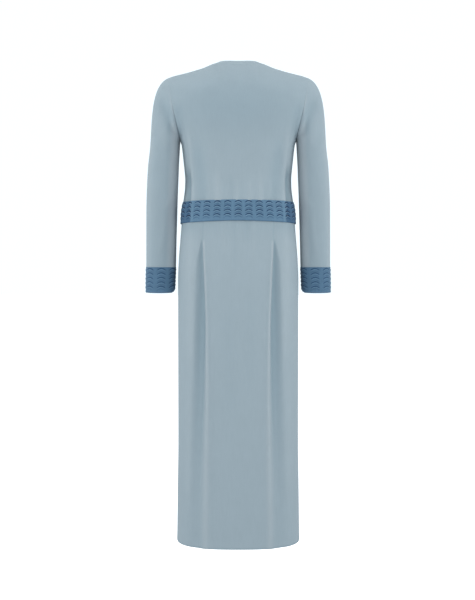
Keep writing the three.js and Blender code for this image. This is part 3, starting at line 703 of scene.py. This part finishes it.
def neckband_form(u, v):
    turn = u * 2 * np.pi
    on_back = np.sin(turn) >= 0
    half = mix(NECK_SEAM["side"], NECK_EDGE["side"], v)
    dip = np.where(
        on_back,
        mix(NECK_SEAM["back"], NECK_EDGE["back"], v),
        mix(NECK_SEAM["front"], NECK_EDGE["front"], v),
    )
    x = half * np.cos(turn)
    z = shoulder_at(half) - dip * np.sin(turn) ** 2
    y = np.where(on_back, top_depth("back", x, z), -top_depth("front", x, z))
    return stack(x, y, z)


def neckband_relief(u, v, points):
    full = NECKBAND_FULL * np.sqrt(np.clip(1 - (2 * v - 1) ** 2, 0, 1))
    # Painted shade along the seam at the band's lower edge.
    return full, 0.12 * bump(v * 9, 1.0)


neckband = lay_cloth(
    "neckband", neckband_form, (168, 14), (420, 12), neckband_relief, closed=True, wall=NECK_CLOTH
)

# %% [markdown]
# ## The skirt
# A straight column down to the hem. Behind, two pleats are stitched down below the waistband and
# then let go: the cloth sinks beside each fold and comes up again towards the side seam. A pleat
# could be folded in the mesh, but its hidden layers would never show, so only the shape that shows
# is made. The columns of the grid crowd together at the folds, where the cloth turns most.

# %% The column and its pleats
PLEAT_STITCHED_TO = -487


def skirt_depth(side, x, z):
    share, round_ = np.clip(np.abs(x) / skirt.side(z), 0, 1), skirt.round(z)
    return getattr(skirt, side)(z) * (1 - share ** round_) ** (1 / round_)


def pleat_lift(x, z):
    """How far a pleat moves the back out or in."""
    fold = np.where(x > 0, pleat.left(z), pleat.right(z))
    outside = np.abs(x) - fold
    deepest, sink, stand = pleat.deepest(z), pleat.sink(z), pleat.stand(z)
    inner = stand * bump(outside, pleat.roll(z))
    down = ease(outside / pleat.drop(z))
    left = 1 - ease((outside - deepest) / (pleat.reach(z) - deepest))
    return np.where(outside <= 0, inner, mix(stand, -sink * left, down))


print("a pleat sinks by up to", -round(float(pleat_lift(np.array(100.5), -655.0)), 1), "mm")

# %% Back and front of the skirt
def back_columns(z):
    """The places of the back's main columns at each height, from the left side to the right."""
    half = skirt.side(z)
    sides = []
    for fold in (pleat.left(z), pleat.right(z)):
        reach = fold + 42
        offsets = (26, 14, 7, 3.5, 1.2, 0, -1.2, -4, -10, -24)
        outer = [half * np.cos(share * np.arccos(reach / half)) for share in (0, 0.25, 0.5, 0.75)]
        sides.append(outer + [reach] + [fold + offset for offset in offsets] + [fold * 0.38])
    left, right = sides
    return np.array(left + [np.zeros_like(half)] + [-x for x in right[::-1]])


def skirt_back_form(u, v):
    z = mix(SKIRT_HEM, SKIRT_TOP, v)
    columns = back_columns(z)
    place = np.clip(u, 0, 1) * (len(columns) - 1)
    index = np.minimum(place.astype(int), len(columns) - 2)
    at = np.arange(len(z))
    x = mix(columns[index, at], columns[index + 1, at], place - index)
    return stack(x, skirt_depth("back", x, z) + pleat_lift(x, z), z)


def skirt_front_form(u, v):
    z = mix(SKIRT_HEM, SKIRT_TOP, v)
    x = -skirt.side(z) * np.cos(np.clip(u, 0, 1) * np.pi)
    return stack(x, -skirt_depth("front", x, z), z)


print("middle of the hem:", np.round(skirt_back_form(np.array([0.5]), np.array([0.0]))[0], 1))

# %% [markdown]
# ## Folds of the skirt
# The back is nearly smooth between its pleats, with short soft folds under the band. The front,
# which has no pleats, falls in three long shallow waves. They are lines laid one by one again.
# Beside a pleat's fold there is less light and along the fold more: painted shade and a painted
# highlight add that to the shape, and painted shade darkens the cloth just under the band.

# %% Folds of the skirt
SKIRT_BACK_FOLDS = [
    ([(132, -380), (133, -520), (131, -640), (129, -780), (128, -900)], 15, 2.6),
    ([(-132, -380), (-133, -520), (-131, -640), (-129, -760), (-128, -860)], 15, 2.6),
    ([(133, -840), (136, -980), (137, -1100), (136, -1260)], 12, 1.6),
    ([(-136, -800), (-138, -930), (-139, -1060), (-138, -1240)], 12, 1.6),
    ([(9, -416), (9, -500), (10, -590)], 6, -1.2),
    ([(40, -416), (38, -480), (36, -540)], 7, 0.9),
    ([(-24, -416), (-23, -455), (-22, -500)], 8, -1.3),
    ([(-44, -416), (-42, -485), (-40, -550)], 7, 0.9),
    ([(30, -640), (26, -800), (20, -980)], 22, -1.0),
    ([(-34, -600), (-30, -760), (-26, -940)], 22, -0.8),
]
SKIRT_FRONT_FOLDS = [
    ([(92, -560), (94, -760), (96, -1000), (98, -1200), (99, -1420)], 22, 4.4),
    ([(8, -640), (8, -840), (6, -1040), (4, -1240), (3, -1420)], 24, 3.2),
    ([(-90, -540), (-92, -740), (-93, -960), (-95, -1180), (-96, -1420)], 22, 4.2),
    ([(52, -436), (52, -520), (50, -640)], 12, -1.2),
    ([(-48, -436), (-48, -530), (-46, -660)], 12, -1.2),
    ([(128, -700), (130, -860), (131, -1040)], 11, 1.4),
    ([(-130, -760), (-131, -900), (-131, -1080)], 11, 1.3),
]
print("folds of the skirt:", len(SKIRT_BACK_FOLDS), "behind,", len(SKIRT_FRONT_FOLDS), "in front")

# %% Lay back and front of the skirt
def skirt_relief(folds):
    def lift(u, v, points):
        x, y, z = points.T
        folded = creases(x, z, folds) * ease(np.abs(y) / 30)
        hem = 0.35 * bump(z - SKIRT_HEM - 6, 5)  # the hem's turned-up edge swells a little
        # Painted shade under the waistband, more towards the sides, and along the hem's edge;
        # folds are painted lighter where they rise and darker where they sink.
        shade_under_band = (0.12 + 0.14 * ease((np.abs(x) - 95) / 45)) * bump(z - BAND_HEM, 32)
        shade = 0.3 * bump(z - SKIRT_HEM, 2) - 0.05 * folded + shade_under_band
        return folded + seam(np.abs(y)) + hem, shade

    return lift


def back_relief(u, v, points):
    x, y, z = points.T
    lift, painted_shade = skirt_relief(SKIRT_BACK_FOLDS)(u, v, points)
    fold = np.where(x > 0, pleat.left(z), pleat.right(z))
    outside = np.abs(x) - fold
    shut = ease((z - PLEAT_STITCHED_TO + 8) / 12)  # 1 where the pleat is stitched down
    # Painted shade: a dark line along the stitched-down fold, a darker trough beside each open
    # fold, and a painted highlight along the fold's edge.
    line = 0.2 * shut * bump(outside - 1.2, 1.3)
    upper = ease((z + 1250) / 600)
    left = 1 - ease((outside - pleat.deepest(z)) / (pleat.reach(z) - pleat.deepest(z)))
    sunk = mix(0.06, 0.42, upper) * (1 - shut) * ease(outside / mix(18, 5, upper)) * left
    lit = -mix(0.26, 0.36, upper) * (1 - shut) * bump(outside + 0.5, mix(9, 3, upper))
    return lift, painted_shade + line + sunk + lit


skirt_back = lay_cloth("skirt_back", skirt_back_form, (224, 150), (480, 946), back_relief)
skirt_front = lay_cloth(
    "skirt_front", skirt_front_form, (120, 130), (450, 946), skirt_relief(SKIRT_FRONT_FOLDS)
)

# %% [markdown]
# ## Rings of knit
# Waistband and cuffs are rings that stand out a little from what they cover. A ring could be a
# scaled cylinder, but its columns of stitches would crowd where the body turns. This one follows
# its surface and is measured round first, so that the columns stand evenly spaced.

# %% The form of a ring
RING_STEPS = 1440  # places at which a ring is measured


def skirt_ring(turn, z):
    side_back = np.sin(turn) >= 0
    c, s, n = np.abs(np.cos(turn)), np.abs(np.sin(turn)), skirt.round(z)
    depth = np.where(side_back, skirt.back(z), skirt.front(z))
    reach = ((c / skirt.side(z)) ** n + (s / depth) ** n) ** (-1 / n)
    return stack(reach * np.cos(turn), reach * np.sin(turn), z)


def ring_form(surface, low, high, start, out, arch=(0, 0)):
    """An upright ring that stands out from a surface. u runs by its length, from start, and
    arch is how much higher its two edges lie in the middle of the back."""
    turns = start + np.linspace(0, 2 * np.pi, RING_STEPS + 1)
    line = surface(turns, np.full(len(turns), (low + high) / 2))
    gone = np.concatenate([[0], np.cumsum(np.linalg.norm(np.diff(line, axis=0), axis=1))])

    def place(u, v):
        whole = np.floor(u)
        turn = np.interp((u - whole) * gone[-1], gone, turns) + whole * 2 * np.pi
        z = mix(low, high, v) + mix(arch[0], arch[1], v) * np.clip(np.sin(turn), 0, 1) ** 1.6
        along = surface(turn + 0.01, z) - surface(turn - 0.01, z)
        outward = unit(stack(along[:, 1], -along[:, 0], 0))
        return surface(turn, z) + outward * out

    return place, float(gone[-1])


print("skirt under the band, behind:", np.round(skirt_ring(math.pi / 2, -410.0), 1))

# %% [markdown]
# ## Scallop knit
# Both bands are knitted in a thicker yarn with rows of small scallops, column over column. Each
# scallop is a sunk line bent like an arch, with a soft pad under it and a second, fainter line.
# Hundreds of small modelled arches would be heavy, so one rule raises the grid itself: it knows
# how far a point lies below the line of each row. A line also gets more painted shade than a pad.

# %% Scallops
ARCH_RISE = 5.6
ARCH_HALF_WIDTH = 0.36  # as a share of its column
ARCH_PITCH = 12.3  # from one row to the next
PAD_BELOW, SECOND_BELOW = 3.1, 7.2  # how far pad and second line lie below the first line


def scallops(columns, rows, first, height, strength, side_fold=None):
    """The relief of rows of scallops and their painted shade, the first row so far below the
    ring's upper edge. Past a side fold, on the back, the scallops lie flatter and get more painted
    shade."""
    def lift(u, v, points):
        aside = np.abs((u * columns + 0.5) % 1 - 0.5)
        arch = ARCH_RISE * np.clip(1 - (aside / ARCH_HALF_WIDTH) ** 2, 0, 1)
        within = ease(arch / ARCH_RISE * 3)
        below_top = (1 - v) * height
        raised, painted_shade = np.zeros(len(u)), np.zeros(len(u))
        for row in range(rows):
            # The line is sunk 1.5 mm, the pad under it stands 1.6 mm high, the second line 0.5.
            below_line = below_top - (first + row * ARCH_PITCH - arch)
            pad = 1.6 * bump(below_line - PAD_BELOW, 1.8) - 1.5 * bump(below_line, 0.9)
            second = -0.5 * bump(below_line - SECOND_BELOW, 0.8)
            raised += within * (pad + second)
            # Painted shade in each arch's lines, and a painted highlight on its pad.
            dark = 1.5 * bump(below_line - 0.1, 1.2) + 0.5 * bump(below_line - SECOND_BELOW, 0.8)
            painted_shade += within * (dark - 0.45 * bump(below_line - 2.9, 1.3))
        edge = 0.5 * bump(height - below_top - 3.2, 2.2) + 0.3 * bump(below_top - 1.6, 1.4)
        # Painted shade along the ring's lower edge.
        hem_shade = bump(height - below_top, 1.2)
        high, shade = strength * raised + edge, strength * painted_shade + 0.5 * hem_shade
        if side_fold:
            behind, beyond = ease(points[:, 1] / 20), np.abs(points[:, 0]) - side_fold
            high = high * mix(1, 0.45, ease((beyond - 8) / 10))
            # On the back past the fold: painted shade, and a painted highlight on the fold itself.
            shade = shade + behind * (0.5 * ease((beyond - 4) / 5) - 0.16 * bump(beyond, 3))
        return high, shade

    return lift


print("a scallop rises", ARCH_RISE, "mm, rows are", ARCH_PITCH, "mm apart")

# %% [markdown]
# ## The waistband
# It hangs over the skirt, its edges lie a little higher in the middle of the back, and towards
# each side of the back it bends over a soft fold. The fold belongs to the form, so that the plain
# inner wall follows it too, and only the scallops are relief.

# %% Waistband
BAND_OUT = 3.1  # how far it stands out from the skirt
BAND_ARCH = (5.2, 1.6)  # how much higher hem and upper edge lie in the middle of the back
BAND_FOLD = 127  # how far from the middle the band folds in beside the back
waist_ring, waist_length = ring_form(
    skirt_ring, BAND_HEM, BAND_TOP, math.pi / 2, BAND_OUT, BAND_ARCH
)


def waist_form(u, v):
    """The waistband, with a soft fold near each end of its back."""
    points = waist_ring(u, v)
    beyond = np.abs(points[:, 0]) - BAND_FOLD
    fold = ease(points[:, 1] / 20) * (1.6 * bump(beyond, 4) - 1.5 * bump(beyond - 12, 7))
    return points + facing_of(waist_ring, u, v, True) * fold[:, None]


band_relief = scallops(30, 4, 9.5, BAND_TOP - BAND_HEM, 1.0, BAND_FOLD)
waistband = lay_cloth(
    "waistband", waist_form, (510, 86), (waist_length, 61), band_relief,
    closed=True, wall=BAND_CLOTH, plain_inside=True,
)
print("waistband", round(waist_length), "mm round")

# %% [markdown]
# ## The cuffs
# Each cuff is the same scallop knit in a darker yarn, set nearly flush on the sleeve's end. One of
# its columns stands near the middle of the back, and its hem is rounded up on the side towards the
# body, where the real one curls up a little. The right cuff is laid as the left one's mirror
# image, which turns no face inside out, as a negative scale would.

# %% Cuffs
CUFF_START = 1.69  # turn of the first column
CUFF_OUT = 0.7  # how far it stands out from the sleeve
CUFF_ARCH = (-1.5, 0)  # the hem hangs lower in the middle of the back
HEM_CURL = 8  # how high the hem is rounded up
cuff_ring, cuff_length = ring_form(
    tube_point, CUFF_HEM, CUFF_TOP, CUFF_START, CUFF_OUT, CUFF_ARCH
)


def cuff_form(u, v):
    """The left cuff, whose hem is rounded up on the side towards the body."""
    points = cuff_ring(u, v)
    inwards = (sleeve.x(points[:, 2]) - points[:, 0]) / sleeve.half(points[:, 2])
    points[:, 2] += (1 - v) * HEM_CURL * ease((inwards - 0.84) / 0.18)
    return points


cuff_relief = scallops(8, 5, 9, CUFF_TOP - CUFF_HEM, 0.6)
cuff_left, cuff_right = (
    lay_cloth(
        name, form, (216, 72), (cuff_length, 72), cuff_relief,
        closed=True, wall=BAND_CLOTH, plain_inside=True,
    )
    for name, form in (("cuff_left", cuff_form), ("cuff_right", mirrored(cuff_form)))
)
print("cuff", round(cuff_length), "mm round")

# %% [markdown]
# ## Knit as a material
# Knitting is columns of small V-shaped stitches. The shader draws them from the UV map, which is
# in metres of flat cloth: one wave across for the columns, and one upwards that is pushed up on
# both sides of each column, which gives the V. A picture of knit would blur close up and repeat,
# and this pattern does neither. It drives the bump and a faint change of colour. Larger, softer
# noise makes the slight unevenness of dyed yarn.

# %% Shader maths in plain expressions
class Value:
    """One socket of a shader. Sums written with it become Math nodes."""

    def __init__(self, socket):
        self.socket = socket

    def node(self, kind, settings=None, inputs=None, output=0):
        tree = self.socket.id_data
        made = tree.nodes.new(kind)
        for name, value in (settings or {}).items():
            setattr(made, name, value)
        for name, value in (inputs or {}).items():
            if isinstance(value, Value):
                tree.links.new(value.socket, made.inputs[name])
            else:
                made.inputs[name].default_value = value
        return Value(made.outputs[output])

    def math(self, operation, first, second=0.0):
        return self.node("ShaderNodeMath", {"operation": operation}, {0: first, 1: second})

    def __add__(self, other):
        return self.math("ADD", self, other)

    def __sub__(self, other):
        return self.math("SUBTRACT", self, other)

    def __rsub__(self, other):
        return self.math("SUBTRACT", other, self)

    def __mul__(self, other):
        return self.math("MULTIPLY", self, other)

    def __mod__(self, other):
        return self.math("FLOORED_MODULO", self, other)

    def sine(self):
        return self.math("SINE", self)

    def absolute(self):
        return self.math("ABSOLUTE", self)

    __radd__, __rmul__ = __add__, __mul__


print("sums on sockets:", [name for name in vars(Value) if name.startswith("__r")])

# %% Knit
def tint(colour, factor):
    return tuple(min(1.0, channel * factor) for channel in colour) + (1.0,)


def knit(name, colour, wale, course, depth, deep, uneven):
    """A knit of that colour. wale and course are a stitch's width and height in metres, depth is
    its relief, deep is what is left of the colour where painted shade is full, and uneven is how
    far the dye varies."""
    material = bpy.data.materials.new(name)
    material.use_nodes = True
    tree = material.node_tree
    shader = tree.nodes["Principled BSDF"]
    base = Value(shader.outputs[0])
    parts = base.node("ShaderNodeSeparateXYZ", None, {0: base.node("ShaderNodeUVMap")})
    across = Value(parts.socket.node.outputs[0]) * (1 / wale)
    up = Value(parts.socket.node.outputs[1]) * (1 / course)
    from_middle = ((across % 1.0) - 0.5).absolute()
    stitch = ((up + from_middle) * (2 * math.pi)).sine()
    column = (from_middle * (2 * math.pi)).sine()
    pattern = stitch * 0.25 - from_middle * 0.9 + column * 0.1 + 0.6
    object_place = base.node("ShaderNodeTexCoord", None, None, 3)
    stretched = base.node("ShaderNodeMapping", None, {0: object_place, "Scale": (1, 1, 0.12)})
    yarn = base.node("ShaderNodeTexNoise", None, {"Vector": stretched, "Scale": 260, "Detail": 3})
    cloud = base.node(
        "ShaderNodeTexNoise", None, {"Vector": object_place, "Scale": 26, "Detail": 4}
    )
    # Painted shade darkens the colour towards deep, and where it is negative it is a painted
    # highlight.
    painted_shade = base.node("ShaderNodeAttribute", {"attribute_name": "painted_shade"}, None, 2)
    light = pattern * 0.35 + yarn * 0.5 + cloud * 0.45 - 0.15
    mixed = base.node(
        "ShaderNodeMix", {"data_type": "RGBA"},
        {0: light, 6: tint(colour, 1 - uneven), 7: tint(colour, 1 + uneven)}, 2,
    )
    shaded = base.node(
        "ShaderNodeMix", {"data_type": "RGBA", "clamp_factor": False},
        {0: painted_shade, 6: mixed, 7: tuple(c * d for c, d in zip(colour, deep)) + (1,)}, 2,
    )
    raised = base.node(
        "ShaderNodeBump", None,
        {"Strength": 0.6, "Distance": depth, "Height": pattern + yarn * 0.3},
    )
    rough = cloud * 0.08 + 0.84
    for socket, value in (("Base Color", shaded), ("Roughness", rough), ("Normal", raised)):
        tree.links.new(value.socket, shader.inputs[socket])
    shader.inputs["Specular IOR Level"].default_value = 0.25
    shader.inputs["Sheen Weight"].default_value = 0.06
    shader.inputs["Sheen Roughness"].default_value = 0.5
    return material


print("half of a colour:", tint((0.6, 0.4, 0.2), 0.5))

# %% The three yarns
DUSTY_BLUE = (0.309, 0.383, 0.434)
STEEL_BLUE = (0.103, 0.196, 0.300)
DARK_STEEL = (0.082, 0.165, 0.264)
FINE, THICK = (0.0012, 0.0010, 0.0003), (0.0018, 0.0014, 0.0005)  # wale, course and depth
# What painted shade leaves of the body's and the bands' colours where it is full.
BODY_SHADE_TINT, BAND_SHADE_TINT = (0.5, 0.66, 0.73), (0.0, 0.2, 0.38)
MATERIALS = {
    "body_knit": knit("body_knit", DUSTY_BLUE, *FINE, BODY_SHADE_TINT, uneven=0.07),
    "band_knit": knit("band_knit", STEEL_BLUE, *THICK, BAND_SHADE_TINT, uneven=0.22),
    "cuff_knit": knit("cuff_knit", DARK_STEEL, *THICK, BAND_SHADE_TINT, uneven=0.22),
}
print("materials:", list(MATERIALS))

# %% [markdown]
# ## Joining looks and solids
# Every piece of cloth rides on the one body, stands for its solid, and gets its yarn. Ten calls by
# hand would do the same, but in one table no piece is forgotten.

# %% Dress the solids
CUTS = [  # piece, slot, flat width and length, how it is held, flat area
    (neckband, "body_knit", (0.42, 0.014), "stretched", None),
    (bodice_back, "body_knit", (0.45, 0.44), "hung", 0.17),
    (bodice_front, "body_knit", (0.46, 0.44), "hung", 0.166),
    (sleeve_left, "body_knit", (0.40, 0.56), "hung", 0.143),
    (sleeve_right, "body_knit", (0.40, 0.56), "hung", 0.143),
    (skirt_back, "body_knit", (0.50, 0.95), "hung", 0.455),
    (skirt_front, "body_knit", (0.49, 0.95), "hung", 0.446),
    (waistband, "band_knit", (0.90, 0.065), "stretched", None),
    (cuff_left, "cuff_knit", (0.29, 0.076), "stretched", None),
    (cuff_right, "cuff_knit", (0.29, 0.076), "stretched", None),
]
for piece, slot, flat, held, area in CUTS:
    piece.data.materials.clear()
    piece.data.materials.append(MATERIALS[slot])
    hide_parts(piece.name.removesuffix("_cloth"))
    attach(piece, "root")
print("pieces dressed:", len(CUTS))

# %% [markdown]
# ## The floor
# The dress hangs a little above a plain pale floor, which runs out to the white of the studio. A
# floor that is only painted white would look grey in the distance, so this one glows a little,
# but it does not light the cloth.

# %% Floor
FLOOR = -1.62
bpy.ops.object.select_all(action="DESELECT")
bpy.ops.mesh.primitive_plane_add(size=60, location=(0, 0, FLOOR))
floor = bpy.context.object
floor.name = "floor"
floor.visible_diffuse = False
paint = bpy.data.materials.new("floor_white")
paint.use_nodes = True
white = paint.node_tree.nodes["Principled BSDF"]
white.inputs["Base Color"].default_value = (0.92, 0.92, 0.92, 1)
white.inputs["Roughness"].default_value = 0.9
white.inputs["Emission Color"].default_value = (1, 1, 1, 1)
white.inputs["Emission Strength"].default_value = 0.75
floor.data.materials.append(paint)
print("floor at", FLOOR, "m")

# %% [markdown]
# ## The lights
# Even studio light shows soft cloth best. One lamp would throw hard shadows, so two tall soft
# lights stand to the sides, a very wide one lights the back and a weak one hangs over the dress.
# The white world lights the cloth less than the camera sees it, so the cloth keeps its shadows.

# %% Soft lights
WARM = (1, 0.95, 0.90)


def soft_light(name, place, target, size, power):
    lamp = bpy.data.lights.new(name, "AREA")
    lamp.shape, lamp.size, lamp.size_y, lamp.energy = "RECTANGLE", size[0], size[1], power
    lamp.color = WARM
    made = bpy.data.objects.new(name, lamp)
    made.location = place
    bpy.context.scene.collection.objects.link(made)
    way = np.array(target) - np.array(place)
    tilt = math.atan2(math.hypot(way[0], way[1]), -way[2])
    made.rotation_euler = (tilt, 0, math.atan2(way[1], way[0]) - math.pi / 2)
    return made


soft_light("left_box", (2.3, 0.75, 0.35), (0, 0, -0.45), (1.2, 1.6), 26)
soft_light("right_box", (-2.3, 0.75, 0.35), (0, 0, -0.45), (1.2, 1.6), 26)
soft_light("back_box", (0, 3.0, -0.25), (0, 0, -0.6), (6.2, 1.6), 42)
soft_light("over_box", (0, -0.1, 1.5), (0, 0, 0), (1.8, 1.0), 8)

# %% The white world
world = bpy.data.worlds.new("studio")
bpy.context.scene.world = world
world.use_nodes = True
sky = Value(world.node_tree.nodes["Background"].outputs[0])
seen = sky.node("ShaderNodeLightPath")
sky_node = sky.socket.node
sky_node.inputs["Color"].default_value = (0.86, 0.95, 1, 1)
world.node_tree.links.new((seen * 0.5 + 0.66).socket, sky_node.inputs["Strength"])
bpy.context.scene.view_settings.view_transform = "Standard"
print("world:", world.name)

# %% [markdown]
# The finished cloth has to fill the same space as the solids it stands for.
